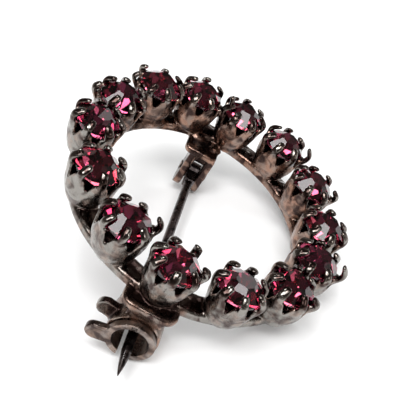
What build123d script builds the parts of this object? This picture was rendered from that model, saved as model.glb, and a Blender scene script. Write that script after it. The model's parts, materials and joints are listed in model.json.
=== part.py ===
from build123d import *
import os
from math import asin, atan, atan2, cos, degrees, hypot, radians, sin, sqrt

# A circle brooch: a round band carries claw settings with cut stones all the way round.
# Its back has a hinged pin and a turning safety catch.
# It is drawn level first: stones face +Z, the catch is towards -Y and the hinge towards +Y, and
# z = 0 is the level of the feet of the hinge ears and the catch. At the end it is laid down as it
# rests, leaning to the right on an ear, on the catch and on the band's edge.

# Band
band_inner_radius = 12.4
band_outer_radius = 15.2
band_height = 1.4
band_edge_round = 0.35

# Cut stone
stone_radius = 2.45
stone_sides = 8
table_radius = 1.3  # flat of the table, measured to a side
crown_height = 1.2
girdle_height = 0.2
pavilion_depth = 2.2
culet_radius = 0.12
star_margin = 0.1  # how far the small facets stay outside the table's corners
pavilion_star_radius = 0.75  # reach of the small facets at the culet's level
girdle_above_band = 5.37  # middle of the girdle over the band's underside

# Claw setting
claw_count = 7
claw_width = 0.9
claw_thickness = 0.45
claw_root_drop = 1.75  # below the girdle
claw_root_inset = 0.2
claw_tip_rise = 0.72  # above the girdle
claw_tip_inset = 0.55
claw_tip_width = 0.6
cup_foot_radius = 1.5
cup_heel_radius = 2.05
cup_heel_drop = 3.6
cup_belly_radius = 2.5
cup_belly_drop = 2.6
cup_rim_radius = 2.85
cup_rim_drop = 0.75
cup_wall = 0.5
cup_floor = 0.55
cup_sink = 0.35  # how far the foot goes into the band
notch_drop = 1.6  # lowest point of the notch below the girdle
notch_width = 1.55  # at the rim

# Pin and hinge
pin_x = -1.2
pin_below_band = 3.15
pin_radius = 0.525
pin_point_length = 3.0
pin_point_radius = 0.06
pin_shoulder_radius = 0.33  # part way down the point
pin_shoulder_length = 1.35  # from the tip
pin_overhang = 4.0  # past the front of the catch
knuckle_radius = 1.1
knuckle_width = 1.3
knuckle_arm_length = 2.7
knuckle_arm_height = 1.3
rivet_radius = 0.4
rivet_head_radius = 0.6
rivet_head_height = 0.12
ear_thickness = 0.9
ear_width = 2.7
hinge_inset = 1.9  # rivet inside the band's inner edge
hinge_plate_width = 3.9
hinge_plate_thickness = 0.8
hinge_plate_lip = 0.3
hinge_plate_round = 0.7

# Safety catch
barrel_radius = 2.75
barrel_wall = 0.4
catch_mouth = 2.0
catch_face_overhang = 1.9  # front of the housing past the band's outer edge
catch_length = 3.3
catch_plate_width = 6.0
catch_plate_thickness = 0.9
catch_plate_round = 0.7
catch_neck_width = 3.8  # between the barrel and the plate
sleeve_wall = 0.42
sleeve_mouth = 1.45
flange_radius = 2.55
flange_thickness = 0.7
flange_gap = 0.15
tab_reach = 4.6  # from the barrel's axis to the end of a tab
tab_width = 2.0
tab_thickness = 0.8
fixed_tab_setback = 1.0  # behind the front of the housing
fixed_tab_angle = 12.0  # above the left side
turning_tab_angle = -14.0

# Clearances
seat_gap = 0.08  # stone to claw
running_gap = 0.05  # shaft in hole, and sleeve in housing
side_gap = 0.06

# Each setting: where it sits on the band, set by hand and so a little uneven, and how its claws
# and its stone are turned from the outward direction. Angles are in degrees.
settings = [
    {"angle": 7.8, "reach": 13.6, "claw_turn": 22.0, "stone_turn": 10.0},
    {"angle": 35.0, "reach": 13.75, "claw_turn": 12.0, "stone_turn": 31.0},
    {"angle": 61.5, "reach": 14.2, "claw_turn": 30.0, "stone_turn": 5.0},
    {"angle": 86.7, "reach": 13.7, "claw_turn": 8.0, "stone_turn": 22.5},
    {"angle": 109.9, "reach": 14.1, "claw_turn": 40.0, "stone_turn": 14.0},
    {"angle": 132.6, "reach": 14.5, "claw_turn": 18.0, "stone_turn": 38.0},
    {"angle": 159.2, "reach": 13.95, "claw_turn": 45.0, "stone_turn": 2.0},
    {"angle": 182.9, "reach": 14.05, "claw_turn": 27.0, "stone_turn": 26.0},
    {"angle": 211.3, "reach": 13.75, "claw_turn": 33.8, "stone_turn": 17.0},
    {"angle": 239.9, "reach": 13.9, "claw_turn": 34.4, "stone_turn": 33.0},
    {"angle": 265.6, "reach": 14.2, "claw_turn": 3.3, "stone_turn": 8.0},
    {"angle": 293.1, "reach": 14.1, "claw_turn": 42.5, "stone_turn": 20.0},
    {"angle": 319.0, "reach": 14.35, "claw_turn": 27.9, "stone_turn": 40.0},
    {"angle": 343.0, "reach": 13.75, "claw_turn": 5.1, "stone_turn": 12.0},
]

# Heights over the feet
pin_z = sqrt(barrel_radius**2 - (catch_mouth / 2) ** 2)
band_z = pin_z + pin_below_band
girdle_z = band_z + girdle_above_band

# Places along Y, first from the ring's middle and then with Y = 0 halfway between the pin's tip and
# the farthest setting
catch_face_reach = band_outer_radius + catch_face_overhang
pin_reach = catch_face_reach + flange_gap + flange_thickness + pin_overhang
setting_reach = max(row["reach"] * sin(radians(row["angle"])) for row in settings)
ring_reach = setting_reach + stone_radius + seat_gap + claw_thickness
ring_y = (pin_reach - ring_reach) / 2
hinge_y = ring_y + band_inner_radius - hinge_inset
catch_face_y = ring_y - catch_face_reach
catch_back_y = catch_face_y + catch_length
pin_tip_y = ring_y - pin_reach


def setting_location(row, turn):
    """Place of one setting's middle at girdle height, turned by its own angle."""
    angle = radians(row["angle"])
    middle = (row["reach"] * cos(angle), ring_y + row["reach"] * sin(angle), girdle_z)
    return Location(middle, (0, 0, row["angle"] + turn))


def slope_for(outer, inner, height):
    """Lean of a facet from upright, in degrees, as it draws in from outer to inner."""
    return degrees(atan((outer - inner) / height))


# One stone, about its own middle with the girdle at z = 0
flat_radius = stone_radius * cos(radians(180 / (2 * stone_sides)))
corner_scale = 1 / cos(radians(180 / stone_sides))
half_turn = 180 / stone_sides
star_radius = table_radius * corner_scale + star_margin

with BuildPart() as crown:
    with BuildSketch(Plane.XY.offset(girdle_height / 2)):
        RegularPolygon(flat_radius * corner_scale, stone_sides, rotation=half_turn)
    extrude(amount=crown_height, taper=slope_for(flat_radius, table_radius, crown_height))
    with BuildSketch(Plane.XY.offset(girdle_height / 2)):
        RegularPolygon(flat_radius * corner_scale, stone_sides)
    extrude(
        amount=crown_height,
        taper=slope_for(flat_radius, star_radius, crown_height),
        mode=Mode.INTERSECT,
    )

with BuildPart() as pavilion:
    with BuildSketch(Plane.XY.offset(-girdle_height / 2)):
        RegularPolygon(flat_radius * corner_scale, stone_sides, rotation=half_turn)
    extrude(amount=-pavilion_depth, taper=slope_for(flat_radius, culet_radius, pavilion_depth))
    with BuildSketch(Plane.XY.offset(-girdle_height / 2)):
        RegularPolygon(flat_radius * corner_scale, stone_sides)
    extrude(
        amount=-pavilion_depth,
        taper=slope_for(flat_radius, pavilion_star_radius, pavilion_depth),
        mode=Mode.INTERSECT,
    )

with BuildPart() as stone:
    with BuildSketch(Plane.XY.offset(-girdle_height / 2)):
        RegularPolygon(stone_radius, 2 * stone_sides, rotation=half_turn / 2)
    extrude(amount=girdle_height)
    add(crown.part)
    add(pavilion.part)

# One claw, in the plane of its setting's axis: an upright shank and a tip bent over the stone.
# Seen from outside it narrows to a rounded end.
claw_line_radius = stone_radius + seat_gap + claw_thickness / 2
claw_top = claw_tip_rise + claw_thickness / 2

with BuildPart() as claw:
    with BuildSketch(Plane.XZ):
        with BuildLine():
            shank = Line(
                (claw_line_radius - claw_root_inset, -claw_root_drop),
                (claw_line_radius, 0),
            )
            TangentArc(
                shank @ 1,
                (claw_line_radius - claw_tip_inset, claw_tip_rise),
                tangent=shank % 1,
            )
        trace(line_width=claw_thickness)
    extrude(amount=claw_width / 2, both=True)
    with BuildSketch(Plane.YZ):
        with BuildLine():
            Polyline(
                (-claw_tip_width / 2, claw_top - claw_tip_width / 2),
                (-claw_width / 2, 0),
                (-claw_width / 2, -claw_root_drop - claw_thickness),
                (claw_width / 2, -claw_root_drop - claw_thickness),
                (claw_width / 2, 0),
                (claw_tip_width / 2, claw_top - claw_tip_width / 2),
            )
            ThreePointArc(
                (claw_tip_width / 2, claw_top - claw_tip_width / 2),
                (0, claw_top),
                (-claw_tip_width / 2, claw_top - claw_tip_width / 2),
            )
        make_face()
    extrude(amount=2 * claw_line_radius, mode=Mode.INTERSECT)

# One V notch between two claws, cut outward from the axis
with BuildPart() as notch:
    with BuildSketch(Plane.YZ.offset(cup_rim_radius / 2)):
        with BuildLine():
            Polyline(
                (0, -notch_drop),
                (notch_width / 2, -cup_rim_drop),
                (notch_width / 2, 0),
                (-notch_width / 2, 0),
                (-notch_width / 2, -cup_rim_drop),
                close=True,
            )
        make_face()
    extrude(amount=cup_rim_radius)

# One cup: a turned bowl, notched at its rim, with the claws standing on it
cup_foot_drop = girdle_above_band - band_height + cup_sink

with BuildPart() as cup:
    with BuildSketch(Plane.XZ):
        with BuildLine():
            Polyline(
                (0, -cup_foot_drop),
                (cup_foot_radius, -cup_foot_drop),
                (cup_heel_radius, -cup_heel_drop),
                (cup_belly_radius, -cup_belly_drop),
                (cup_rim_radius, -cup_rim_drop),
                (cup_rim_radius - cup_wall, -cup_rim_drop),
                (cup_belly_radius - cup_wall, -cup_belly_drop),
                (cup_heel_radius - cup_wall, -cup_heel_drop),
                (0, -cup_foot_drop + cup_floor),
                close=True,
            )
        make_face()
    revolve(axis=Axis.Z)
    with PolarLocations(0, claw_count, start_angle=180 / claw_count):
        add(notch.part, mode=Mode.SUBTRACT)
    with PolarLocations(0, claw_count):
        add(claw.part)

# The soldered frame: band, cups, hinge plate and ears, catch housing with its fixed tab
start_middle = (Align.MIN, Align.CENTER)
catch_plane = Plane(origin=(pin_x, catch_face_y, pin_z), x_dir=(1, 0, 0), z_dir=(0, -1, 0))
tab_straight = tab_reach - tab_width / 2
ear_gap = knuckle_width + 2 * side_gap
ear_outer = ear_gap / 2 + ear_thickness
sleeve_radius = barrel_radius - barrel_wall - running_gap

with BuildPart() as frame:
    with BuildSketch(Plane((0, ring_y, band_z))):
        Circle(band_outer_radius)
        Circle(band_inner_radius, mode=Mode.SUBTRACT)
    extrude(amount=band_height)
    fillet(frame.edges().filter_by(GeomType.CIRCLE), band_edge_round)

    # Hinge plate, from under the band inwards, with two ears below it
    plate_front = hinge_y - ear_width / 2 - hinge_plate_lip
    plate_back = ring_y + (band_inner_radius + band_outer_radius) / 2
    with BuildSketch(Plane((pin_x, (plate_front + plate_back) / 2, band_z))):
        RectangleRounded(hinge_plate_width, plate_back - plate_front, hinge_plate_round)
    extrude(amount=hinge_plate_thickness)
    for side in (-1, 1):
        with BuildSketch(Plane.YZ.offset(pin_x + side * ear_outer)):
            with Locations((hinge_y, ear_width / 2)):
                Circle(ear_width / 2)
            with Locations((hinge_y, (ear_width / 2 + band_z) / 2)):
                Rectangle(ear_width, band_z - ear_width / 2)
            with Locations((hinge_y, pin_z)):
                Circle(rivet_radius + running_gap, mode=Mode.SUBTRACT)
        extrude(amount=-side * ear_thickness)

    # Catch housing: a round barrel, open below, hung by a neck from a flat plate
    with BuildSketch(Plane.XZ.offset(-catch_back_y)):
        with Locations((pin_x, pin_z)):
            Circle(barrel_radius)
        with Locations((pin_x, (pin_z + band_z) / 2)):
            Rectangle(catch_neck_width, band_z - pin_z)
        with Locations((pin_x, pin_z)):
            Circle(barrel_radius - barrel_wall, mode=Mode.SUBTRACT)
        with Locations((pin_x, pin_z - barrel_radius / 2)):
            Rectangle(catch_mouth, barrel_radius, mode=Mode.SUBTRACT)
    extrude(amount=catch_length)
    catch_plate_back = ring_y - (band_inner_radius + band_outer_radius) / 2
    with BuildSketch(Plane((pin_x, (catch_face_y + catch_plate_back) / 2, band_z))):
        RectangleRounded(catch_plate_width, catch_plate_back - catch_face_y, catch_plate_round)
    extrude(amount=catch_plate_thickness)

    # Fixed thumb tab, flat across the barrel
    with BuildSketch(catch_plane.offset(-fixed_tab_setback)) as fixed_tab:
        with Locations(Location((0, 0), 180 - fixed_tab_angle)):
            with Locations((barrel_radius - barrel_wall / 2, 0)):
                Rectangle(tab_straight - barrel_radius + barrel_wall / 2, tab_width, align=start_middle)
            with Locations((tab_straight, 0)):
                Circle(tab_width / 2)
    extrude(amount=-tab_thickness)

    with Locations(*[setting_location(row, row["claw_turn"]) for row in settings]):
        add(cup.part)

# Turning sleeve of the catch: it fills the housing's bore between two flanges, and carries a tab
sleeve_bore = sleeve_radius - sleeve_wall
flange_face = flange_gap + flange_thickness
sleeve_back = catch_length + flange_gap + flange_thickness

with BuildPart() as catch_sleeve:
    with BuildSketch(catch_plane.offset(flange_face)):
        Circle(sleeve_radius)
    extrude(amount=-(flange_face + sleeve_back))
    with BuildSketch(catch_plane.offset(flange_gap), catch_plane.offset(-sleeve_back)):
        Circle(flange_radius)
    extrude(amount=flange_thickness)
    with BuildSketch(catch_plane.offset(flange_gap)):
        with Locations(Location((0, 0), 180 - turning_tab_angle)):
            Rectangle(tab_straight, tab_width, align=start_middle)
            with Locations((tab_straight, 0)):
                Circle(tab_width / 2)
    extrude(amount=flange_thickness)
    with BuildSketch(catch_plane.offset(flange_face)):
        Circle(sleeve_bore)
        with Locations((0, -flange_radius)):
            Rectangle(sleeve_mouth, 2 * flange_radius)
    extrude(amount=-(flange_face + sleeve_back), mode=Mode.SUBTRACT)

# Pin: a knuckle round the rivet, a flat arm and a round stem drawn to a point
arm_end_y = hinge_y - knuckle_arm_length
stem_end_y = pin_tip_y + pin_point_length

with BuildPart() as pin_stem:
    with BuildSketch(Plane.XY.offset(pin_z)):
        with BuildLine():
            Polyline((pin_x, hinge_y), (pin_x, pin_tip_y), (pin_x + pin_point_radius, pin_tip_y))
            ThreePointArc(
                (pin_x + pin_point_radius, pin_tip_y),
                (pin_x + pin_shoulder_radius, pin_tip_y + pin_shoulder_length),
                (pin_x + pin_radius, stem_end_y),
            )
            Polyline((pin_x + pin_radius, stem_end_y), (pin_x + pin_radius, hinge_y), (pin_x, hinge_y))
        make_face()
    revolve(axis=Axis((pin_x, 0, pin_z), (0, 1, 0)))
    with BuildSketch(Plane.YZ.offset(pin_x - knuckle_width / 2)):
        with Locations((hinge_y, pin_z)):
            Circle(knuckle_radius)
        with Locations(((hinge_y + arm_end_y) / 2, pin_z)):
            Rectangle(knuckle_arm_length, knuckle_arm_height)
    extrude(amount=knuckle_width)
    with BuildSketch(Plane.YZ.offset(pin_x - knuckle_width / 2)):
        with Locations((hinge_y, pin_z)):
            Circle(rivet_radius + running_gap)
    extrude(amount=knuckle_width, mode=Mode.SUBTRACT)

# Rivet through both ears, with a head on each side
with BuildPart() as hinge_rivet:
    with BuildSketch(Plane.YZ.offset(pin_x - ear_outer - side_gap - rivet_head_height)):
        with Locations((hinge_y, pin_z)):
            Circle(rivet_radius)
    extrude(amount=2 * (ear_outer + side_gap + rivet_head_height))
    for side in (-1, 1):
        with BuildSketch(Plane.YZ.offset(pin_x + side * (ear_outer + side_gap))):
            with Locations((hinge_y, pin_z)):
                Circle(rivet_head_radius)
        extrude(amount=side * rivet_head_height)

pieces = {
    "soldered_frame": frame.part,
    "catch_sleeve": catch_sleeve.part,
    "pin_stem": pin_stem.part,
    "hinge_rivet": hinge_rivet.part,
}
for number, row in enumerate(settings, start=1):
    with BuildPart() as placed_stone:
        with Locations(setting_location(row, row["stone_turn"])):
            add(stone.part)
    pieces[f"stone_{number:02d}"] = placed_stone.part

# The rest: it leans about the line from the catch's right lip to the foot of the right ear, until the
# band's rounded edge comes down to the surface
catch_lip = Vector(pin_x + catch_mouth / 2, catch_face_y, 0)
ear_foot = Vector(pin_x + ear_outer, hinge_y, 0)
lean_axis = Axis(catch_lip, ear_foot - catch_lip)
to_right = lean_axis.direction.cross(Vector(0, 0, 1))
edge_reach = (Vector(0, ring_y, 0) - catch_lip).dot(to_right) + band_outer_radius - band_edge_round
edge_height = band_z + band_edge_round
lean_angle = degrees(
    atan2(edge_height, edge_reach) - asin(band_edge_round / hypot(edge_reach, edge_height))
)

leaning = {name: part.rotate(lean_axis, lean_angle) for name, part in pieces.items()}
extent = Compound(list(leaning.values())).bounding_box()
centring = Location((-extent.center().X, -extent.center().Y, -extent.min.Z))

os.makedirs("parts", exist_ok=True)

for name, part in leaning.items():
    resting = part.moved(centring)
    resting.label = name
    export_step(resting, f"parts/{name}.step")
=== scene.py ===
import bpy
import bmesh
import json
import math
import random
import numpy as np
from mathutils import Matrix, Vector, noise


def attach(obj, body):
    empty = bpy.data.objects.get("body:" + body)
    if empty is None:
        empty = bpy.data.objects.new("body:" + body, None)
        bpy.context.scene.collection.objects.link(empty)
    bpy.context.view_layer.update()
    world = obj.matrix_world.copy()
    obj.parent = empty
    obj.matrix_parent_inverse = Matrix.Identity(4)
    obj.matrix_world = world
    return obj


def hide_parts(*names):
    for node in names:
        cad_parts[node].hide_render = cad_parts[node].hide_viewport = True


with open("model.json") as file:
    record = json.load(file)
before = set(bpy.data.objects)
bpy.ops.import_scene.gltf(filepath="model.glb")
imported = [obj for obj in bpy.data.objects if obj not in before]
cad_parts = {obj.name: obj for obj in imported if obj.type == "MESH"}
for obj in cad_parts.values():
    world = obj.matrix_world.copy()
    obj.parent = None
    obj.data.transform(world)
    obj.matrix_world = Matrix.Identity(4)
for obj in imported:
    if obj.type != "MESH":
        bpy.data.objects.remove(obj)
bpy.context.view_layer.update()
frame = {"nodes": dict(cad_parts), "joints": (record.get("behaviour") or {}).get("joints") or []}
print("frame loaded:", len(frame["nodes"]), "nodes")

scene = bpy.context.scene
chance = random.Random(11)
fullTurn = 2 * math.pi

# The brooch leans as it rests. Its pieces are modelled level, in the ring's own place: origin at the
# ring's middle on the band's underside, X along the hinge's rivet, Y along the pin, Z through the stones.
ring = {
    "innerRadius": 0.0124,
    "outerRadius": 0.0152,
    "height": 0.0014,
    "squareness": 0.6,  # 1 makes the band's section an oval, and less fills out its corners
    "sides": 28,
    "steps": 240,
    "hingeInset": 0.0019,  # from the band's inner edge to the rivet
    "pinOffset": -0.0012,
    "pinBelow": 0.00315,
}
bandMiddle = (ring["innerRadius"] + ring["outerRadius"]) / 2
joints = {joint["name"]: joint for joint in frame["joints"]}
ringX = Vector(joints["pin_swing"]["axis"]).normalized()
ringY = Vector(joints["catch_turn"]["axis"]).normalized()
ringZ = ringX.cross(ringY)
ringTurn = Matrix((ringX, ringY, ringZ)).transposed().to_4x4()
hingePlace = Vector((ring["pinOffset"], ring["innerRadius"] - ring["hingeInset"], -ring["pinBelow"]))
leanedHinge = Vector(joints["pin_swing"]["pos_m"])
ringPlace = Matrix.Translation(leanedHinge) @ ringTurn @ Matrix.Translation(-hingePlace)
fromRing = ringPlace.inverted()


def levelBox(node):
    # A CAD node's lowest and highest corners in the ring's own place
    points = [fromRing @ vert.co for vert in frame["nodes"][node].data.vertices]
    low = Vector([min(point[axis] for point in points) for axis in range(3)])
    high = Vector([max(point[axis] for point in points) for axis in range(3)])
    return low, high


stoneNodes = sorted(name for name in frame["nodes"] if name.startswith("stone_"))
stoneBoxes = {name: levelBox(name) for name in stoneNodes}
footZ = levelBox("soldered_frame")[0].z
print("ring placed, leaning", round(math.degrees(ringZ.angle((0, 0, 1))), 1), "degrees")


# Mesh helpers. Points nearer to each other than a weld gap become one

weldGap = 1e-6
fineWeldGap = 1e-7
lumpWidth = 0.8  # a solder lump's width beside its length


def jitter(reach):
    # A chance amount, up to reach either way
    return chance.uniform(-reach, reach)


def newPiece(name, bm, *materials, smooth=True):
    mesh = bpy.data.meshes.new(name)
    bmesh.ops.transform(bm, matrix=ringPlace, verts=bm.verts[:])
    bm.to_mesh(mesh)
    bm.free()
    for material in materials:
        mesh.materials.append(material)
    if smooth:
        mesh.shade_smooth()
    else:
        mesh.shade_flat()
    piece = bpy.data.objects.new(name, mesh)
    scene.collection.objects.link(piece)
    return piece


def addPart(whole, part):
    # The part's faces go into the whole mesh
    mesh = bpy.data.meshes.new("part")
    part.to_mesh(mesh)
    part.free()
    whole.from_mesh(mesh)
    bpy.data.meshes.remove(mesh)


def stationMatrix(middle, along, across, halfWidth, halfThickness):
    # Local X is the width, Y the thickness and Z the way the section travels
    along = along.normalized()
    across = (across - along * across.dot(along)).normalized()
    third = along.cross(across)
    turned = Matrix((across, third, along)).transposed().to_4x4()
    return Matrix.Translation(middle) @ turned @ Matrix.Diagonal((halfWidth, halfThickness, 1, 1))


def sweepSection(bm, stations, sides):
    # A round section carried through the stations, closed at both ends
    start = bmesh.ops.create_circle(bm, cap_ends=True, segments=sides, radius=1.0, matrix=stations[0])
    cap = start["verts"][0].link_faces[0]
    for before, after in zip(stations, stations[1:]):
        grown = bmesh.ops.extrude_face_region(bm, geom=[cap])["geom"]
        moved = [item for item in grown if isinstance(item, bmesh.types.BMVert)]
        cap = next(item for item in grown if isinstance(item, bmesh.types.BMFace))
        bmesh.ops.transform(bm, matrix=after @ before.inverted(), verts=moved)


def alongPath(points, share):
    # A point on a smooth curve through the points, share from 0 to 1
    place = share * (len(points) - 1)
    index = min(int(place), len(points) - 2)
    local = place - index
    before = points[max(index - 1, 0)]
    start, end = points[index], points[index + 1]
    after = points[min(index + 2, len(points) - 1)]
    squared, cubed = local**2, local**3
    return (
        (2 * start)
        + (end - before) * local
        + (2 * before - 5 * start + 4 * end - after) * squared
        + (3 * start - before - 3 * end + after) * cubed
    ) * 0.5


def spinRound(bm, steps, gap):
    # Carries a profile once round Z and closes its seam
    bmesh.ops.spin(
        bm, geom=bm.verts[:] + bm.edges[:], axis=(0, 0, 1), cent=(0, 0, 0), angle=fullTurn, steps=steps,
        use_merge=True,
    )
    bmesh.ops.remove_doubles(bm, verts=bm.verts[:], dist=gap)
    bmesh.ops.recalc_face_normals(bm, faces=bm.faces[:])


def thicken(bm, push):
    # Gives a flat outline its thickness
    grown = bmesh.ops.extrude_face_region(bm, geom=bm.faces[:])["geom"]
    moved = [item for item in grown if isinstance(item, bmesh.types.BMVert)]
    bmesh.ops.translate(bm, vec=push, verts=moved)
    bmesh.ops.recalc_face_normals(bm, faces=bm.faces[:])


def block(size, middle):
    bm = bmesh.new()
    bmesh.ops.create_cube(bm, size=1.0, matrix=Matrix.Translation(middle) @ Matrix.Diagonal((*size, 1)))
    return bm


def roundEdges(bm, edges, roundness, segments):
    bmesh.ops.bevel(
        bm, geom=edges, offset=roundness, offset_type="OFFSET", affect="EDGES", segments=segments,
        profile=0.5, material=-1,
    )


def roundedBlock(size, middle, roundness):
    bm = block(size, middle)
    roundEdges(bm, bm.edges[:], roundness, 4)
    return bm


def edgeRise(edge):
    return abs(edge.verts[0].co.z - edge.verts[1].co.z)


def roundedPlate(size, middle, plate):
    # A plate with round corners, its top sunk inside a raised rim
    bm = block(size, middle)
    half = size[2] / 2
    roundEdges(bm, [edge for edge in bm.edges if edgeRise(edge) > half], plate["corner"], 8)
    roundEdges(bm, [edge for edge in bm.edges if edgeRise(edge) < half], plate["round"], 3)
    bm.normal_update()
    top = max(bm.faces, key=lambda face: face.calc_center_median().z)
    bmesh.ops.inset_region(bm, faces=[top], thickness=plate["rim"], depth=0)
    bmesh.ops.inset_region(bm, faces=[top], thickness=plate["rim"] / 2, depth=-plate["sink"])
    return bm


def blob(middle, reach, rise):
    # A lump of solder
    bm = bmesh.new()
    place = Matrix.Translation(middle) @ Matrix.Diagonal((reach, reach * lumpWidth, rise, 1))
    bmesh.ops.create_icosphere(bm, subdivisions=3, radius=1.0, matrix=place)
    return bm


# Shader helpers

def newGroup(name, inputs, outputs):
    group = bpy.data.node_groups.new(name, "ShaderNodeTree")
    for way, sockets in (("INPUT", inputs), ("OUTPUT", outputs)):
        for label, kind in sockets.items():
            group.interface.new_socket(name=label, in_out=way, socket_type=kind)
    return group, group.nodes.new("NodeGroupInput"), group.nodes.new("NodeGroupOutput")


def newMaterial(name):
    material = bpy.data.materials.new(name)
    material.use_nodes = True
    return material, material.node_tree, material.node_tree.nodes["Principled BSDF"]


def addNode(tree, kind, **values):
    node = tree.nodes.new(kind)
    for name, value in values.items():
        setattr(node, name, value)
    return node


def mathNode(tree, operation, *values, clamp=False):
    node = addNode(tree, "ShaderNodeMath", operation=operation, use_clamp=clamp)
    for socket, value in zip(node.inputs, values):
        if isinstance(value, (int, float)):
            socket.default_value = value
        else:
            tree.links.new(value, socket)
    return node.outputs[0]


def rangeNode(tree, value, low, high):
    # 0 up to low and 1 from high on, with a smooth run between them
    node = addNode(tree, "ShaderNodeMapRange", interpolation_type="SMOOTHSTEP")
    tree.links.new(value, node.inputs["Value"])
    node.inputs["From Min"].default_value = low
    node.inputs["From Max"].default_value = high
    return node.outputs["Result"]


def mixColor(tree, share, first, second):
    node = addNode(tree, "ShaderNodeMix", data_type="RGBA")
    tree.links.new(share, node.inputs["Factor"])
    for socket, value in ((node.inputs["A"], first), (node.inputs["B"], second)):
        if isinstance(value, tuple):
            socket.default_value = (*value, 1)
        else:
            tree.links.new(value, socket)
    return node.outputs["Result"]


# Noise patterns: their grain, and the range of each that is drawn out to run from 0 to 1
patterns = {
    "cloud": {"scale": 650, "detail": 5, "distortion": 0.8, "range": (0.38, 0.64)},
    "patch": {"scale": 900, "detail": 3, "distortion": 0.3, "range": (0.3, 0.7)},
    "speck": {"scale": 5200, "detail": 2, "distortion": 0, "range": (0.62, 0.75)},
    "scratch": {"scale": 9000, "detail": 2, "distortion": 0, "range": (0.45, 0.7)},
    "foil": {"scale": 500, "detail": 2, "distortion": 0, "range": (0.4, 0.65)},
}


def noiseNode(tree, name, coordinates):
    node = addNode(tree, "ShaderNodeTexNoise")
    for label in ("Scale", "Detail", "Distortion"):
        node.inputs[label].default_value = patterns[name][label.lower()]
    tree.links.new(coordinates, node.inputs["Vector"])
    return node.outputs["Fac"]


def drawOut(tree, name, value):
    return rangeNode(tree, value, *patterns[name]["range"])


# Metal

aging = {
    "evenTarnish": 0.5,  # the tarnish that leaves the clouds as they are
    "wearsheen": 0.9,
    "patchWarmth": 0.6,
    "coolness": 0.65,
    "warmth": 1.15,
    "patchDullness": 0.6,
    "scratchDullness": 0.4,
    "patchRelief": 0.8,
    "scratchRelief": 0.12,
    "pitRelief": -0.5,
    "scratchStretch": (1.0, 1.0, 0.12),
    "scratchTurn": (0.5, 0.3, 0.0),
    "polish": 0.6,  # how much of its roughness a polished place loses
    "bumpDistance": 0.0001,
}


def agedMetalGroup():
    # Tarnish clouds, warm worn patches, pits and fine scratches on silver-coloured metal
    color, number = "NodeSocketColor", "NodeSocketFloat"
    inputs = {
        "Bright": color, "Dark": color, "Warm": color, "Tarnish": number, "Warmth": number,
        "Shadetarnish": number, "Wearsheen": number, "Gloss": number, "Dullness": number,
    }
    outputs = {"Color": color, "Roughness": number, "Height": number}
    group, given, put = newGroup("aged metal", inputs, outputs)
    place = addNode(group, "ShaderNodeTexCoord").outputs["Object"]
    streaks = addNode(group, "ShaderNodeMapping")
    streaks.inputs["Scale"].default_value = aging["scratchStretch"]
    streaks.inputs["Rotation"].default_value = aging["scratchTurn"]
    group.links.new(place, streaks.inputs["Vector"])
    patch = noiseNode(group, "patch", place)
    scratch = noiseNode(group, "scratch", streaks.outputs["Vector"])
    clouded = drawOut(group, "cloud", noiseNode(group, "cloud", place))
    pitted = drawOut(group, "speck", noiseNode(group, "speck", place))
    patched = drawOut(group, "patch", patch)
    scratched = drawOut(group, "scratch", scratch)

    tarnish = mathNode(group, "ADD", clouded, given.outputs["Tarnish"])
    tarnish = mathNode(group, "SUBTRACT", tarnish, aging["evenTarnish"])
    # Shadetarnish adds to the tarnish, and carries painted shade as well as tarnish
    tarnish = mathNode(group, "ADD", tarnish, given.outputs["Shadetarnish"])
    # Wearsheen takes tarnish away, for worn edges and for a painted sheen
    worn = mathNode(group, "MULTIPLY", given.outputs["Wearsheen"], aging["wearsheen"])
    tarnish = mathNode(group, "SUBTRACT", tarnish, worn, clamp=True)
    warm = mathNode(group, "MULTIPLY_ADD", patched, aging["patchWarmth"], -aging["coolness"])
    warm = mathNode(group, "MULTIPLY_ADD", given.outputs["Warmth"], aging["warmth"], warm, clamp=True)
    base = mixColor(group, warm, given.outputs["Bright"], given.outputs["Warm"])
    base = mixColor(group, tarnish, base, given.outputs["Dark"])
    group.links.new(base, put.inputs["Color"])

    dull = mathNode(group, "MULTIPLY", scratched, aging["scratchDullness"])
    dull = mathNode(group, "MULTIPLY_ADD", patched, aging["patchDullness"], dull)
    rough = addNode(group, "ShaderNodeMapRange")
    group.links.new(dull, rough.inputs["Value"])
    group.links.new(given.outputs["Gloss"], rough.inputs["To Min"])
    group.links.new(given.outputs["Dullness"], rough.inputs["To Max"])
    group.links.new(rough.outputs["Result"], put.inputs["Roughness"])

    height = mathNode(group, "MULTIPLY", pitted, aging["pitRelief"])
    height = mathNode(group, "MULTIPLY_ADD", patch, aging["patchRelief"], height)
    height = mathNode(group, "MULTIPLY_ADD", scratch, aging["scratchRelief"], height)
    group.links.new(height, put.inputs["Height"])
    return group


agedMetal = agedMetalGroup()


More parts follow.
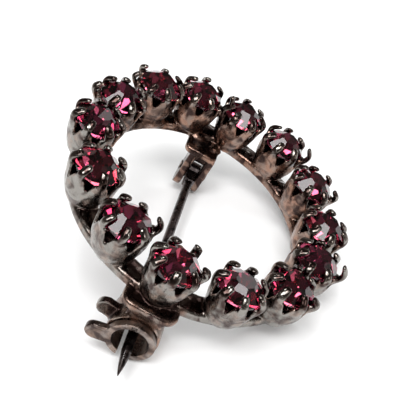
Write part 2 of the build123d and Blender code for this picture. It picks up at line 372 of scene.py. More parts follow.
def metalMaterial(look):
    material, tree, shader = newMaterial(look["name"])
    shader.inputs["Metallic"].default_value = 1.0
    aged = addNode(tree, "ShaderNodeGroup", node_tree=agedMetal)
    for name in ("bright", "dark", "warm"):
        aged.inputs[name.capitalize()].default_value = (*look[name], 1)
    for name in ("tarnish", "gloss", "dullness"):
        aged.inputs[name.capitalize()].default_value = look[name]
    rough = aged.outputs["Roughness"]
    if "warmth" in look:
        aged.inputs["Warmth"].default_value = look["warmth"]
    else:
        # This metal's warmth and the rest come from the masks painted on its piece, which carry painted
        # shade and a painted sheen besides tarnish and wear
        for name in ("shadetarnish", "wearsheen", "warmth"):
            mask = addNode(tree, "ShaderNodeAttribute", attribute_name=name)
            tree.links.new(mask.outputs["Fac"], aged.inputs[name.capitalize()])
        polish = addNode(tree, "ShaderNodeAttribute", attribute_name="polish")
        left = mathNode(tree, "MULTIPLY_ADD", polish.outputs["Fac"], -aging["polish"], 1.0)
        rough = mathNode(tree, "MULTIPLY", rough, left)
    tree.links.new(aged.outputs["Color"], shader.inputs["Base Color"])
    tree.links.new(rough, shader.inputs["Roughness"])
    bump = addNode(tree, "ShaderNodeBump")
    bump.inputs["Strength"].default_value = look["relief"]
    bump.inputs["Distance"].default_value = aging["bumpDistance"]
    tree.links.new(aged.outputs["Height"], bump.inputs["Height"])
    tree.links.new(bump.outputs["Normal"], shader.inputs["Normal"])
    return material


frameMetal = metalMaterial({
    "name": "tarnished silver", "bright": (0.27, 0.255, 0.235), "dark": (0.056, 0.035, 0.031),
    "warm": (0.38, 0.225, 0.165), "tarnish": 0.55, "gloss": 0.14, "dullness": 0.42, "relief": 0.35,
})
catchMetal = metalMaterial({
    "name": "browned catch metal", "bright": (0.30, 0.26, 0.24), "dark": (0.06, 0.042, 0.038),
    "warm": (0.30, 0.18, 0.12), "tarnish": 0.5, "warmth": 0.6, "gloss": 0.2, "dullness": 0.48,
    "relief": 0.35,
})
pinMetal = metalMaterial({
    "name": "dark pin wire", "bright": (0.17, 0.15, 0.15), "dark": (0.025, 0.02, 0.02),
    "warm": (0.16, 0.10, 0.08), "tarnish": 0.65, "warmth": 0.3, "gloss": 0.18, "dullness": 0.42,
    "relief": 0.3,
})


# Stone glass and the foil behind it

stoneLook = {
    "glass": (0.40, 0.15, 0.22),
    "bending": 1.58,
    "pinkFoil": (0.86, 0.38, 0.54),
    "coralFoil": (0.90, 0.40, 0.40),
    "foilRoughness": 0.06,
}


def stoneMaterials():
    glass, _, shader = newMaterial("plum glass")
    shader.inputs["Base Color"].default_value = (*stoneLook["glass"], 1)
    shader.inputs["Roughness"].default_value = 0.0
    shader.inputs["IOR"].default_value = stoneLook["bending"]
    shader.inputs["Transmission Weight"].default_value = 1.0
    backing, tree, shader = newMaterial("worn stone foil")
    shader.inputs["Metallic"].default_value = 1.0
    shader.inputs["Roughness"].default_value = stoneLook["foilRoughness"]
    place = addNode(tree, "ShaderNodeTexCoord").outputs["Object"]
    worn = drawOut(tree, "foil", noiseNode(tree, "foil", place))
    shade = mixColor(tree, worn, stoneLook["pinkFoil"], stoneLook["coralFoil"])
    tree.links.new(shade, shader.inputs["Base Color"])
    return glass, backing


plumGlass, stoneFoil = stoneMaterials()
print("materials made")


# Cut stones: crown, girdle and foiled pavilion, every facet a plane cut

cutStone = {
    "girdleRadius": 0.00243,
    "girdleHalf": 0.0001,
    "crownHeight": 0.0012,
    "pavilionDepth": 0.0021,
    "facets": 8,
    "blankSides": 48,
    "crownLean": 50.0,
    "crownLeanSpread": 1.5,
    "pavilionLean": 49.0,
    "pavilionWaySpread": 0.05,  # in radians
}

# How each stone sits: the turn of its facets, and how far and which way its table leans, in degrees
stoneSeats = {
    "stone_01": {"turn": 23, "lean": 0.5, "way": -120},
    "stone_02": {"turn": 6, "lean": 2, "way": 0},
    "stone_03": {"turn": 10, "lean": 2, "way": 0},
    "stone_04": {"turn": 39, "lean": 0.5, "way": 170},
    "stone_05": {"turn": 8, "lean": 2, "way": 0},
    "stone_06": {"turn": 8, "lean": 2, "way": 0},
    "stone_07": {"turn": 30, "lean": 0.5, "way": 160},
    "stone_08": {"turn": 42, "lean": 6, "way": -8},
    "stone_09": {"turn": 39, "lean": 2, "way": 0},
    "stone_10": {"turn": 14, "lean": 0.5, "way": -160},
    "stone_11": {"turn": 30, "lean": 2, "way": 0},
    "stone_12": {"turn": 35, "lean": 4, "way": 141},
    "stone_13": {"turn": 22, "lean": 1, "way": -120},
    "stone_14": {"turn": 36, "lean": 2, "way": 0},
}


def cutFacet(bm, way, lean, reach, height):
    # The facet's normal rises by lean from level, and the facet passes through (reach, height)
    lean = math.radians(lean)
    normal = Vector((math.cos(way) * math.cos(lean), math.sin(way) * math.cos(lean), math.sin(lean)))
    point = Vector((math.cos(way) * reach, math.sin(way) * reach, height))
    everything = bm.verts[:] + bm.edges[:] + bm.faces[:]
    bmesh.ops.bisect_plane(bm, geom=everything, dist=1e-8, plane_co=point, plane_no=normal, clear_outer=True)
    rim = [edge for edge in bm.edges if edge.is_boundary]
    if rim:
        bmesh.ops.holes_fill(bm, edges=rim, sides=0)


def stoneMiddle(node):
    # The middle of the stone's girdle
    low, high = stoneBoxes[node]
    height = high.z - cutStone["crownHeight"] - cutStone["girdleHalf"]
    return Vector(((low.x + high.x) / 2, (low.y + high.y) / 2, height))


def makeStone(node):
    seat = stoneSeats[node]
    radius, half = cutStone["girdleRadius"], cutStone["girdleHalf"]
    bm = bmesh.new()
    # A round blank, taller than the stone
    bmesh.ops.create_cone(
        bm, cap_ends=True, segments=cutStone["blankSides"], radius1=radius, radius2=radius, depth=4 * radius,
    )
    cutFacet(bm, 0, 90, 0, cutStone["crownHeight"] + half)
    cutFacet(bm, 0, -90, 0, -cutStone["pavilionDepth"] - half)
    for number in range(cutStone["facets"]):
        way = number * fullTurn / cutStone["facets"]
        cutFacet(bm, way, cutStone["crownLean"] + jitter(cutStone["crownLeanSpread"]), radius, half)
        cutFacet(bm, way + jitter(cutStone["pavilionWaySpread"]), -cutStone["pavilionLean"], radius, -half)
    for face in bm.faces:
        # The crown and the girdle are glass, and the pavilion below them is foiled
        face.material_index = int(face.calc_center_median().z < -half - weldGap)
    way = math.radians(seat["way"])
    leaned = Matrix.Rotation(math.radians(seat["lean"]), 4, Vector((-math.sin(way), math.cos(way), 0)))
    leaned = leaned @ Matrix.Rotation(math.radians(seat["turn"]), 4, "Z")
    bmesh.ops.transform(bm, matrix=Matrix.Translation(stoneMiddle(node)) @ leaned, verts=bm.verts[:])
    bmesh.ops.recalc_face_normals(bm, faces=bm.faces[:])
    piece = newPiece("cut_" + node, bm, plumGlass, stoneFoil, smooth=False)
    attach(piece, "frame")
    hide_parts(node)


for node in stoneNodes:
    makeStone(node)
print("stones cut:", len(stoneNodes))


# Settings: a tulip cup with seven petals, and a claw on each petal.
# Their reaches and heights are from the middle of the stone's girdle

cup = {
    "outline": (
        (0.0, -0.0049), (0.0012, -0.0049), (0.00165, -0.0046), (0.0019, -0.0042), (0.00215, -0.0037),
        (0.00238, -0.0031), (0.00258, -0.0023), (0.00269, -0.0014), (0.00275, -0.0007), (0.00278, -0.0001),
    ),
    "level": 5,  # outline points up to this one aren't reached by the notches
    "rimCuts": 3,
    "wall": 0.00042,
    "petals": 7,
    "petalSteps": 18,
    "notchDepth": 0.0014,
    "notchWidth": 0.46,
    "notchPower": 0.9,
    "fullness": (0.985, 1.02),
}

claw = {
    "path": (
        (0.00238, -0.0022), (0.00250, -0.0014), (0.00264, -0.0006), (0.00274, 0.0), (0.00266, 0.00044),
        (0.00236, 0.00072), (0.00200, 0.00098),
    ),
    "halfWidths": (0.00060, 0.00056, 0.00052, 0.00050, 0.00050, 0.00050, 0.00045),
    "halfThicknesses": (0.00018, 0.0002, 0.00024, 0.0003, 0.00031, 0.0003, 0.00027),
    # The rounded tip: how far past the path, and how large beside the path's end
    "tip": ((0.00013, 0.95), (0.00025, 0.82), (0.00034, 0.58), (0.00038, 0.3)),
    "steps": 16,
    "sides": 16,
    "lookAhead": 0.02,
    "bendPower": 0.8,
    "outSpread": (-0.00006, 0.00012),
    "riseSpread": 0.0001,
    "swaySpread": 0.00018,
    "widthSpread": (0.9, 1.1),
}

# How full these bowls are, beside the others' chance fullness
bowls = {"stone_09": 1.03, "stone_10": 1.05, "stone_11": 0.96, "stone_12": 0.98}

# How each setting's claws are turned, in degrees from the outward direction
clawTurns = {
    "stone_01": 22.0, "stone_02": 12.0, "stone_03": 30.0, "stone_04": 8.0, "stone_05": 40.0,
    "stone_06": 18.0, "stone_07": 45.0, "stone_08": 27.0, "stone_09": 33.8, "stone_10": 34.4,
    "stone_11": 3.3, "stone_12": 42.5, "stone_13": 27.9, "stone_14": 5.1,
}

# Claws that no longer lie on their stone: how far the tip stands out and how much it rises
bentClaws = {
    ("stone_02", 6): (0.0006, -0.0002),
    ("stone_03", 5): (0.0007, 0.0003),
    ("stone_05", 4): (0.0012, 0.0008),
    ("stone_06", 0): (0.0009, -0.0006),
    ("stone_06", 1): (0.0012, -0.0004),
    ("stone_07", 0): (0.0010, -0.0001),
    ("stone_10", 2): (0.0007, 0.0004),
    ("stone_11", 2): (0.0006, -0.0005),
    ("stone_11", 3): (0.0009, -0.0002),
    ("stone_13", 0): (0.0005, -0.0005),
    ("stone_14", 0): (0.0005, 0.0004),
}


def makeCup(full):
    bm = bmesh.new()
    points = [bm.verts.new((reach * full, 0, height)) for reach, height in cup["outline"]]
    edges = [bm.edges.new(pair) for pair in zip(points, points[1:])]
    bmesh.ops.subdivide_edges(bm, edges=edges[cup["level"]:], cuts=cup["rimCuts"])
    spinRound(bm, cup["petals"] * cup["petalSteps"], weldGap)
    rim = cup["outline"][-1][1]
    low = cup["outline"][cup["level"]][1]
    for vert in bm.verts:
        if vert.co.z > low:
            # aside is 0 at a petal's middle and 1 at the notch's
            turn = math.atan2(vert.co.y, vert.co.x) * cup["petals"] / fullTurn
            aside = 2 * abs(turn - round(turn))
            notch = max(0, 1 - (1 - aside) / cup["notchWidth"]) ** cup["notchPower"]
            vert.co.z -= cup["notchDepth"] * notch * (vert.co.z - low) / (rim - low)
    bmesh.ops.solidify(bm, geom=bm.faces[:], thickness=cup["wall"])
    return bm


def makeClaw(out, rise, sway, widen):
    bm = bmesh.new()
    middles = [Vector((reach, 0, height)) for reach, height in claw["path"]]
    for number, middle in enumerate(middles):
        # The two lowest points stay on the cup
        share = max(0, (number - 1) / (len(middles) - 2))
        middle.x += out * share ** claw["bendPower"]
        middle.z += rise * share
        middle.y += sway * share
    halves = zip(claw["halfWidths"], claw["halfThicknesses"])
    sizes = [Vector((width * widen, thickness, 0)) for width, thickness in halves]
    stations = []
    for step in range(claw["steps"] + 1):
        share = step / claw["steps"]
        ahead = alongPath(middles, min(1, share + claw["lookAhead"]))
        behind = alongPath(middles, max(0, share - claw["lookAhead"]))
        width, thickness, _ = alongPath(sizes, share)
        middle = alongPath(middles, share)
        stations.append(stationMatrix(middle, ahead - behind, Vector((0, 1, 0)), width, thickness))
    end = stations[-1]
    for push, size in claw["tip"]:
        stations.append(end @ Matrix.Translation((0, 0, push)) @ Matrix.Diagonal((size, size, 1, 1)))
    sweepSection(bm, stations, claw["sides"])
    bmesh.ops.recalc_face_normals(bm, faces=bm.faces[:])
    return bm


def wayRound(node):
    # The setting's way round the ring, in radians
    middle = stoneMiddle(node)
    return math.atan2(middle.y, middle.x)


def makeSetting(node):
    setting = makeCup(bowls.get(node, chance.uniform(*cup["fullness"])))
    for number in range(cup["petals"]):
        out, rise = bentClaws.get((node, number), (0, 0))
        out += chance.uniform(*claw["outSpread"])
        rise += jitter(claw["riseSpread"])
        sway = jitter(claw["swaySpread"])
        part = makeClaw(out, rise, sway, chance.uniform(*claw["widthSpread"]))
        turn = Matrix.Rotation(fullTurn * number / cup["petals"], 4, "Z")
        bmesh.ops.transform(part, matrix=turn, verts=part.verts[:])
        addPart(setting, part)
    turn = Matrix.Rotation(wayRound(node) + math.radians(clawTurns[node]), 4, "Z")
    placed = Matrix.Translation(stoneMiddle(node)) @ turn
    bmesh.ops.transform(setting, matrix=placed, verts=setting.verts[:])
    return setting


def makeBand():
    bm = bmesh.new()
    halfWidth = (ring["outerRadius"] - ring["innerRadius"]) / 2
    upright = Matrix.Rotation(math.pi / 2, 4, "X")
    section = bmesh.ops.create_circle(bm, segments=ring["sides"], radius=1.0, matrix=upright)
    for vert in section["verts"]:
        for axis in (0, 2):
            vert.co[axis] = math.copysign(abs(vert.co[axis]) ** ring["squareness"], vert.co[axis])
        vert.co.x = vert.co.x * halfWidth + bandMiddle
        vert.co.z = (vert.co.z + 1) * ring["height"] / 2
    spinRound(bm, ring["steps"], fineWeldGap)
    return bm


# Solder run out at the foot of each cup, and in the gaps between the cups
solder = {
    "footReach": 0.00215,
    "footSpread": (0.92, 1.06),
    "footRise": 0.0008,
    "footSink": 0.0001,
    "gapReach": (0.0009, 0.0014),
    "gapRise": (0.0002, 0.00055),
    "gapSink": 0.0002,
}


def bandPoint(way, sink):
    height = ring["height"] - sink
    return Vector((math.cos(way) * bandMiddle, math.sin(way) * bandMiddle, height))


def makeSolder():
    lumps = []
    ways = sorted(wayRound(node) % fullTurn for node in stoneNodes)
    for number, way in enumerate(ways):
        reach = solder["footReach"] * chance.uniform(*solder["footSpread"])
        lumps.append(blob(bandPoint(way, solder["footSink"]), reach, solder["footRise"]))
        following = ways[(number + 1) % len(ways)]
        between = way + ((following - way) % fullTurn) / 2
        reach, rise = chance.uniform(*solder["gapReach"]), chance.uniform(*solder["gapRise"])
        lumps.append(blob(bandPoint(between, solder["gapSink"]), reach, rise))
    return lumps


hinge = {
    "plateWidth": 0.0042,
    "plateThickness": 0.00085,
    "plateLip": 0.0002,
    "plateRun": 0.0014,  # how far the plate runs into the band
    "plateAside": -0.0005,
    "plate": {"corner": 0.0008, "round": 0.0003, "rim": 0.0003, "sink": 0.00008},
    "earWidth": 0.0027,
    "earThickness": 0.0009,
    "earGap": 0.00142,
    "earTop": 0.0003,
    "earSides": 36,
    "webHeight": 0.0013,
    "webShare": 0.8,  # the web's length beside the ears'
    "webInset": 0.0004,
    "webShift": 0.0002,
    "webRound": 0.0001,
    # Lumps of solder from the hinge's place: across, along, height of their middle, reach and rise
    "lumps": (
        (0.0020, 0.0020, 0.0009, 0.0010, 0.00045), (-0.0017, 0.0014, 0.0008, 0.0009, 0.0004),
        (0.0010, 0.0006, 0.0008, 0.0008, 0.0003), (-0.0012, -0.0006, 0.00075, 0.0007, 0.00022),
    ),
}


def makeEar(x):
    # A tab with a round foot at the frame's lowest level and a straight top inside the plate
    ear = bmesh.new()
    half = hinge["earWidth"] / 2
    place = Matrix.Translation((x, hingePlace.y, footZ + half)) @ Matrix.Rotation(math.pi / 2, 4, "Y")
    disc = bmesh.ops.create_circle(ear, cap_ends=True, segments=hinge["earSides"], radius=half, matrix=place)
    for vert in disc["verts"]:
        if vert.co.z > footZ + half:
            vert.co.z = hinge["earTop"]
    thicken(ear, Vector((hinge["earThickness"], 0, 0)))
    return ear


def makeHingeParts():
    parts = []
    front = hingePlace.y - hinge["earWidth"] / 2 - hinge["plateLip"]
    back = ring["innerRadius"] + hinge["plateRun"]
    middle = Vector((hingePlace.x + hinge["plateAside"], (front + back) / 2, hinge["plateThickness"] / 2))
    size = (hinge["plateWidth"], back - front, hinge["plateThickness"])
    parts.append(roundedPlate(size, middle, hinge["plate"]))
    for across, along, height, reach, rise in hinge["lumps"]:
        parts.append(blob(Vector((hingePlace.x + across, hingePlace.y + along, height)), reach, rise))
    size = (hinge["earGap"] + hinge["webInset"], hinge["earWidth"] * hinge["webShare"], hinge["webHeight"])
    shift = hinge["webShift"]
    middle = Vector((hingePlace.x, hingePlace.y + shift, -hinge["webHeight"] / 2 + shift))
    parts.append(roundedBlock(size, middle, hinge["webRound"]))
    for side in (-1, 1):
        outward = side * (hinge["earGap"] + hinge["earThickness"]) / 2
        parts.append(makeEar(hingePlace.x + outward - hinge["earThickness"] / 2))
    return parts


catch = {
    "barrelRadius": 0.00275,
    "barrelSteps": 64,
    "wall": 0.0004,
    "mouth": 0.0020,
    "length": 0.0033,
    "overhang": 0.0019,
    "plateWidth": 0.0060,
    "plateThickness": 0.0009,
    "plate": {"corner": 0.0014, "round": 0.0003, "rim": 0.0004, "sink": 0.00022},
    "neckWidth": 0.0038,
    "neckShare": 0.98,  # the neck's length beside the barrel's
    "neckInset": 0.0003,  # how far the neck runs into the barrel and into the plate
    "neckRound": 0.0001,
    "tabReach": 0.0046,
    "tabWidth": 0.002,
    "tabThickness": 0.0008,
    "tabAngle": 12.0,
    "tabSetback": 0.001,
    "tabSides": 32,
}
barrelFront = -ring["outerRadius"] - catch["overhang"]
barrelMiddle = Vector((ring["pinOffset"], 0, -ring["pinBelow"]))


def makeBarrel():
    # The wall's section, turned round from one lip of the mouth to the other
    barrel = bmesh.new()
    outer, inner = catch["barrelRadius"], catch["barrelRadius"] - catch["wall"]
    back = barrelFront + catch["length"]
    gap = math.asin(catch["mouth"] / 2 / outer)
    start = -math.pi / 2 + gap
    corners = ((inner, barrelFront), (outer, barrelFront), (outer, back), (inner, back))
    loop = [barrel.verts.new((reach * math.cos(start), y, reach * math.sin(start))) for reach, y in corners]
    section = barrel.faces.new(loop)
    bmesh.ops.spin(
        barrel, geom=[section] + list(section.verts) + list(section.edges), axis=(0, -1, 0), cent=(0, 0, 0),
        angle=fullTurn - 2 * gap, steps=catch["barrelSteps"],
    )
    bmesh.ops.recalc_face_normals(barrel, faces=barrel.faces[:])
    bmesh.ops.translate(barrel, vec=barrelMiddle, verts=barrel.verts[:])
    return barrel


def makeThumbTab():
    # Round at its end, and run into the barrel's wall at its root
    tab = bmesh.new()
    half = catch["tabWidth"] / 2
    straight = catch["tabReach"] - half
    flat = Matrix.Translation((straight, 0, 0)) @ Matrix.Rotation(math.pi / 2, 4, "X")
    disc = bmesh.ops.create_circle(tab, cap_ends=True, segments=catch["tabSides"], radius=half, matrix=flat)
    for vert in disc["verts"]:
        if vert.co.x < straight:
            vert.co.x = catch["barrelRadius"] - catch["wall"] / 2
    thicken(tab, Vector((0, catch["tabThickness"], 0)))
    place = Matrix.Translation((barrelMiddle.x, barrelFront + catch["tabSetback"], barrelMiddle.z))
    place = place @ Matrix.Rotation(-math.radians(180 - catch["tabAngle"]), 4, "Y")
    bmesh.ops.transform(tab, matrix=place, verts=tab.verts[:])
    return tab


def makeCatchParts():
    middle = Vector((barrelMiddle.x, (barrelFront - bandMiddle) / 2, catch["plateThickness"] / 2))
    size = (catch["plateWidth"], -bandMiddle - barrelFront, catch["plateThickness"])
    plate = roundedPlate(size, middle, catch["plate"])
    inset = catch["neckInset"]
    low = barrelMiddle.z + catch["barrelRadius"] - inset
    middle = Vector((barrelMiddle.x, barrelFront + catch["length"] / 2, (low + inset) / 2))
    size = (catch["neckWidth"], catch["length"] * catch["neckShare"], inset - low)
    neck = roundedBlock(size, middle, catch["neckRound"])
    return [makeBarrel(), plate, neck, makeThumbTab()]


# How the frame's solids are run together, and the unevenness left by hand soldering
fusing = {
    "voxel": 0.00012,
    "softening": 0.5,
    "rounds": 4,
    "triangles": 190000,
    "waves": ({"size": 0.0016, "depth": 0.00009}, {"size": 0.0007, "depth": 0.00004}),
    "wavesFrom": 0.001,  # the height from which the waves have their full depth
}


def evaluatedMesh(piece):
    return bpy.data.meshes.new_from_object(piece.evaluated_get(bpy.context.evaluated_depsgraph_get()))


def fusePiece(piece, voxel, rounds, triangles=None):
    # Runs the piece's overlapping solids together as solder does, and rounds their edges
    remesh = piece.modifiers.new("fuse", "REMESH")
    remesh.mode = "VOXEL"
    remesh.voxel_size = voxel
    remesh.use_smooth_shade = True
    soften = piece.modifiers.new("soften", "SMOOTH")
    soften.factor = fusing["softening"]
    soften.iterations = rounds
    fused = evaluatedMesh(piece)
    piece.modifiers.clear()
    piece.data = fused
    count = 2 * len(fused.polygons)
    if triangles and count > triangles:
        thin = piece.modifiers.new("thin", "DECIMATE")
        thin.ratio = triangles / count
        piece.data = evaluatedMesh(piece)
        piece.modifiers.clear()
    piece.data.shade_smooth()
    print(piece.name, "fused:", count, "triangles, kept", len(piece.data.polygons), "faces")


def handWork(piece):
    # Waves in the surface, faded out towards the band's underside, so that the hinge and the catch keep
    # their clearances
    vertices = piece.data.vertices
    normals = [vert.normal.copy() for vert in vertices]
    for vert, normal in zip(vertices, normals):
        share = min(1, max(0, (fromRing @ vert.co).z / fusing["wavesFrom"]))
        push = sum(wave["depth"] * noise.noise(vert.co / wave["size"]) for wave in fusing["waves"])
        vert.co += normal * push * share


# The limits and strengths of the frame's masks. A pair is the range over which a mask comes or goes, of a
# height or a distance in metres, or of how far a face looks that way, from -1 to 1
masks = {
    "proud": (0.000004, 0.000018),
    "cupInside": 0.0014,
    "cupReach": 0.0028,
    "cupDepth": (-0.0003, 0.0004),
    "cupInward": (0.0, 0.5),
    "cupDarkening": 0.6,
    "tipHeight": (0.0050, 0.0057),
    "tipPaintedShade": 0.7,
    "flatUpward": (0.6, 0.9),
    "flatTop": 0.0019,
    "flatReach": 0.0011,
    "flatPaintedShade": 0.6,
    "recessUpward": (0.5, 0.9),
    "recessTop": 0.00082,
    "recessBack": -0.0135,
    "leastWarmth": 0.35,
    "warmInward": (-0.3, 0.5),
    "polishCooling": 0.6,
    "paleSheen": 0.3,
    "paleOutward": (0.2, 0.8),
    "paleLeft": (0.0, 0.01),
    "brownReach": (0.003, 0.0042),
    "brownTop": (0.0011, 0.002),
    "brownWarmth": 0.75,
    "brownShelter": 0.35,
    "earTop": -0.0001,
    "earDarkening": 0.75,
}


def smoothStep(value, low, high):
    share = np.clip((value - low) / (high - low), 0, 1)
    return share * share * (3 - 2 * share)


def vertexArray(mesh, field):
    values = np.empty(len(mesh.vertices) * 3)
    mesh.vertices.foreach_get(field, values)
    return values.reshape(-1, 3)


def proudness(mesh, places, normals):
    # How far each vertex stands out from its neighbours, evened out a little
    count = len(mesh.vertices)
    pairs = np.empty(len(mesh.edges) * 2, int)
    mesh.edges.foreach_get("vertices", pairs)
    first, second = pairs.reshape(-1, 2).T
    links = np.bincount(pairs, minlength=count)

    def spread(values):
        total = np.bincount(first, values[second], count) + np.bincount(second, values[first], count)
        return total / links

    offset = np.stack([spread(places[:, axis]) for axis in range(3)], 1) - places
    proud = -(offset * normals).sum(1)
    for _ in range(2):
        proud = spread(proud)
    return proud


def cupDarkening(level, facing):
    # The insides of the cups, below the stones, made darker
    shadetarnish = np.zeros(len(level))
    for node in stoneNodes:
        middle = stoneMiddle(node)
        aside = level[:, :2] - np.array(middle)[:2]
        distance = np.hypot(aside[:, 0], aside[:, 1])
        inward = -(facing[:, :2] * aside).sum(1) / np.maximum(distance, weldGap)
        low = smoothStep(middle.z - level[:, 2], *masks["cupDepth"])
        inside = smoothStep(inward, *masks["cupInward"]) + (distance < masks["cupInside"])
        inside = np.clip(inside, 0, 1) * low * (distance < masks["cupReach"])
        shadetarnish = np.maximum(shadetarnish, masks["cupDarkening"] * inside)
    return shadetarnish


def paintMasks(piece):
    # Vertex masks that the frame's metal reads: tarnish and painted shade, wear and a painted sheen, warmth
    # and polish
    mesh = piece.data
    places, normals = vertexArray(mesh, "co"), vertexArray(mesh, "normal")
    turn = np.array(fromRing.to_3x3())
    level = places @ turn.T + np.array(fromRing.translation)
    facing = normals @ turn.T
    height, upward = level[:, 2], facing[:, 2]
    wearsheen = smoothStep(proudness(mesh, places, normals), *masks["proud"])
    shadetarnish = cupDarkening(level, facing)
    # The claws' tips are shinier than the walls below them and get a painted shade for the dark they mirror,
    # and so does the band's flat top between the cups
    polish = smoothStep(height, *masks["tipHeight"])
    shadetarnish = np.maximum(shadetarnish, masks["tipPaintedShade"] * polish)
    out = np.hypot(level[:, 0], level[:, 1])
    # The band's flat top between the cups gets a painted shade and is polished
    flat = smoothStep(upward, *masks["flatUpward"]) * (height < masks["flatTop"])
    flat = flat * (np.abs(out - bandMiddle) < masks["flatReach"])
    shadetarnish = np.maximum(shadetarnish, masks["flatPaintedShade"] * flat)
    polish = np.maximum(polish, flat)
    # Upward faces low on the band's front get a full painted shade, for the dark they mirror
    recessPaintedShade = smoothStep(upward, *masks["recessUpward"]) * (height < masks["recessTop"])
    recessPaintedShade = recessPaintedShade * (level[:, 1] < masks["recessBack"])
    shadetarnish = np.maximum(shadetarnish, recessPaintedShade)
    inward = -(facing[:, :2] * level[:, :2]).sum(1) / out
    least = masks["leastWarmth"]
    warmth = least + (1 - least) * smoothStep(inward, *masks["warmInward"])
    warmth = warmth * (1 - masks["polishCooling"] * polish)
    # The outer walls on the left get a painted sheen that stands for the pale floor they mirror, and the
    # hinge and the catch are browner
    pale = smoothStep(-inward, *masks["paleOutward"]) * smoothStep(-level[:, 0], *masks["paleLeft"])
    wearsheen = np.maximum(wearsheen, masks["paleSheen"] * pale)
    brown = 1 - smoothStep(np.abs(level[:, 0] - ring["pinOffset"]), *masks["brownReach"])
    brown = brown * (1 - smoothStep(height, *masks["brownTop"]))
    warmth = np.maximum(warmth, masks["brownWarmth"] * brown)
    # The hinge's ears, below the band's underside, are made darker, as are the brown hinge and catch
    ears = (height < masks["earTop"]) * (level[:, 1] > 0)
    shadetarnish = np.maximum(shadetarnish, np.maximum(masks["brownShelter"] * brown, masks["earDarkening"] * ears))
    for name, values in (("shadetarnish", shadetarnish), ("wearsheen", wearsheen), ("warmth", warmth), ("polish", polish)):
        layer = mesh.attributes.new(name, "FLOAT", "POINT")
        layer.data.foreach_set("value", values.astype(np.float32))


def makeFrame():
    whole = makeBand()
    for part in makeSolder() + makeHingeParts() + makeCatchParts():
        addPart(whole, part)
    for node in stoneNodes:
        addPart(whole, makeSetting(node))
    piece = newPiece("claw_set_frame", whole, frameMetal)
    fusePiece(piece, fusing["voxel"], fusing["rounds"], fusing["triangles"])
    handWork(piece)
    paintMasks(piece)
    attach(piece, "frame")
    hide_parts("soldered_frame")


makeFrame()

# The sleeve, the rivet and the pin are the drawn ones with their edges worn round. The sleeve's mouth is
# drawn in: how far round each side gives way, in radians, and how much of the way its lip goes
wornParts = {
    "catch_sleeve": {
        "name": "turning_catch_sleeve", "body": "sleeve", "slot": "tarnished_silver", "material": catchMetal,
        "voxel": 0.00006, "rounds": 4, "mouth": (1.0, 0.36),
    },
    "hinge_rivet": {
        "name": "riveted_hinge_pin", "body": "frame", "slot": "tarnished_silver", "material": catchMetal,
        "voxel": 0.00005, "rounds": 2,
    },
    "pin_stem": {
        "name": "brooch_pin_wire", "body": "pin", "slot": "pin_steel", "material": pinMetal,
        "voxel": 0.00008, "rounds": 2,
    },
}


def drawInMouth(bm, reach, share):
    for vert in bm.verts:
        aside, up = vert.co.x - ring["pinOffset"], vert.co.z + ring["pinBelow"]
        turn = math.atan2(aside, -up)
        if abs(turn) < reach:
            turned = turn * (1 - share * (reach - abs(turn)) / reach)
            away = math.hypot(aside, up)
            vert.co.x = ring["pinOffset"] + away * math.sin(turned)
            vert.co.z = -ring["pinBelow"] - away * math.cos(turned)


def makeWornPart(node, part):
    bm = bmesh.new()
    bm.from_mesh(frame["nodes"][node].data)
    bmesh.ops.remove_doubles(bm, verts=bm.verts[:], dist=fineWeldGap)
    bmesh.ops.transform(bm, matrix=fromRing, verts=bm.verts[:])
    if "mouth" in part:
        drawInMouth(bm, *part["mouth"])
    piece = newPiece(part["name"], bm, part["material"])
    fusePiece(piece, part["voxel"], part["rounds"])
    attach(piece, part["body"])
    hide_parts(node)


for node, part in wornParts.items():
    makeWornPart(node, part)


# Floor, lights and camera

floor = {"halfSize": 0.8, "color": (0.92, 0.92, 0.92), "roughness": 0.9}


def makeFloor():
    bm = bmesh.new()
    bmesh.ops.create_grid(bm, x_segments=1, y_segments=1, size=floor["halfSize"])
    # A new piece leans as the ring does, and this undoes it
    bmesh.ops.transform(bm, matrix=fromRing, verts=bm.verts[:])
    material, _, shader = newMaterial("pale floor")
    shader.inputs["Base Color"].default_value = (*floor["color"], 1)
    shader.inputs["Roughness"].default_value = floor["roughness"]
    newPiece("floor", bm, material, smooth=False)


makeFloor()

# The room's own light: dark above, pale near the floor, and even for the floor itself
studio = {
    "above": (0.10, 0.082, 0.075),
    "low": (0.60, 0.57, 0.54),
    "lowEnd": 0.06,
    "aboveStart": 0.48,
    "throughStones": (0.6, 0.6, 0.7),
    "floorLight": (0.85, 0.85, 0.85),
}


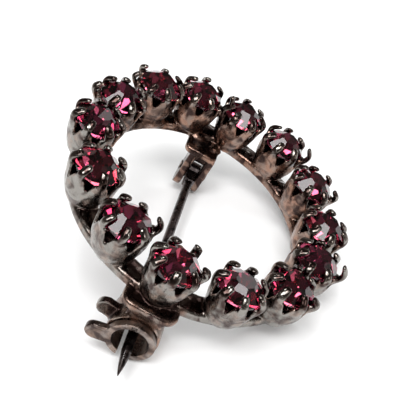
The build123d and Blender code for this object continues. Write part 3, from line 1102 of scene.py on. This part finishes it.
def makeWorld():
    world = bpy.data.worlds.new("studio")
    scene.world = world
    world.use_nodes = True
    tree = world.node_tree
    place = addNode(tree, "ShaderNodeTexCoord").outputs["Generated"]
    apart = addNode(tree, "ShaderNodeSeparateXYZ")
    tree.links.new(place, apart.inputs["Vector"])
    high = rangeNode(tree, apart.outputs["Z"], studio["lowEnd"], studio["aboveStart"])
    room = mixColor(tree, high, studio["low"], studio["above"])
    rays = addNode(tree, "ShaderNodeLightPath")
    dimmed = addNode(tree, "ShaderNodeMix", data_type="RGBA", blend_type="MULTIPLY")
    tree.links.new(rays.outputs["Is Transmission Ray"], dimmed.inputs["Factor"])
    tree.links.new(room, dimmed.inputs["A"])
    dimmed.inputs["B"].default_value = (*studio["throughStones"], 1)
    shade = mixColor(tree, rays.outputs["Is Diffuse Ray"], dimmed.outputs["Result"], studio["floorLight"])
    tree.links.new(shade, tree.nodes["Background"].inputs["Color"])


makeWorld()

# Way round and height are in the ring's own place, in degrees, distance and size in metres, and glow is
# the panel's brightness
softboxes = {
    "window": {"way": 77.6, "height": 38.2, "distance": 0.45, "size": 0.085, "glow": 1.4},
    "overhead": {"way": -98, "height": 72, "distance": 0.40, "size": 0.14, "glow": 7.5},
    "corner": {"way": -142, "height": 55, "distance": 0.42, "size": 0.17, "glow": 8.0},
    "key": {"way": 150, "height": 50, "distance": 0.45, "size": 0.045, "glow": 28.0},
    "side": {"way": -20, "height": 45, "distance": 0.5, "size": 0.05, "glow": 14.0},
}
keyTint = (0.93, 1.0, 1.0)


def makeLights():
    for name, box in softboxes.items():
        light = bpy.data.lights.new(name, "AREA")
        light.size = box["size"]
        light.energy = box["glow"] * math.pi * box["size"] ** 2
        if name == "key":
            light.color = keyTint
        lamp = bpy.data.objects.new(name, light)
        scene.collection.objects.link(lamp)
        way, height = math.radians(box["way"]), math.radians(box["height"])
        aim = Vector((math.cos(way) * math.cos(height), math.sin(way) * math.cos(height), math.sin(height)))
        place = Matrix.Translation(aim * box["distance"])
        lamp.matrix_world = ringPlace @ place @ aim.to_track_quat("Z", "Y").to_matrix().to_4x4()


makeLights()

# The camera's place and aim are in the ring's own place too, its roll in degrees
view = {
    "place": (-0.0122, -0.063656, 0.054645),
    "aim": (-0.000412, -0.000878, 0.002625),
    "roll": 35.15,
    "lens": 68.25,
    "clipStart": 0.001,
}


def makeCamera():
    data = bpy.data.cameras.new("camera")
    data.lens = view["lens"]
    data.clip_start = view["clipStart"]
    camera = bpy.data.objects.new("camera", data)
    scene.collection.objects.link(camera)
    place = Vector(view["place"])
    look = (Vector(view["aim"]) - place).to_track_quat("-Z", "Y").to_matrix().to_4x4()
    turned = look @ Matrix.Rotation(math.radians(view["roll"]), 4, "Z")
    camera.matrix_world = ringPlace @ Matrix.Translation(place) @ turned
    scene.camera = camera
    scene.view_settings.view_transform = "Standard"


makeCamera()
print("floor, lights and camera set")
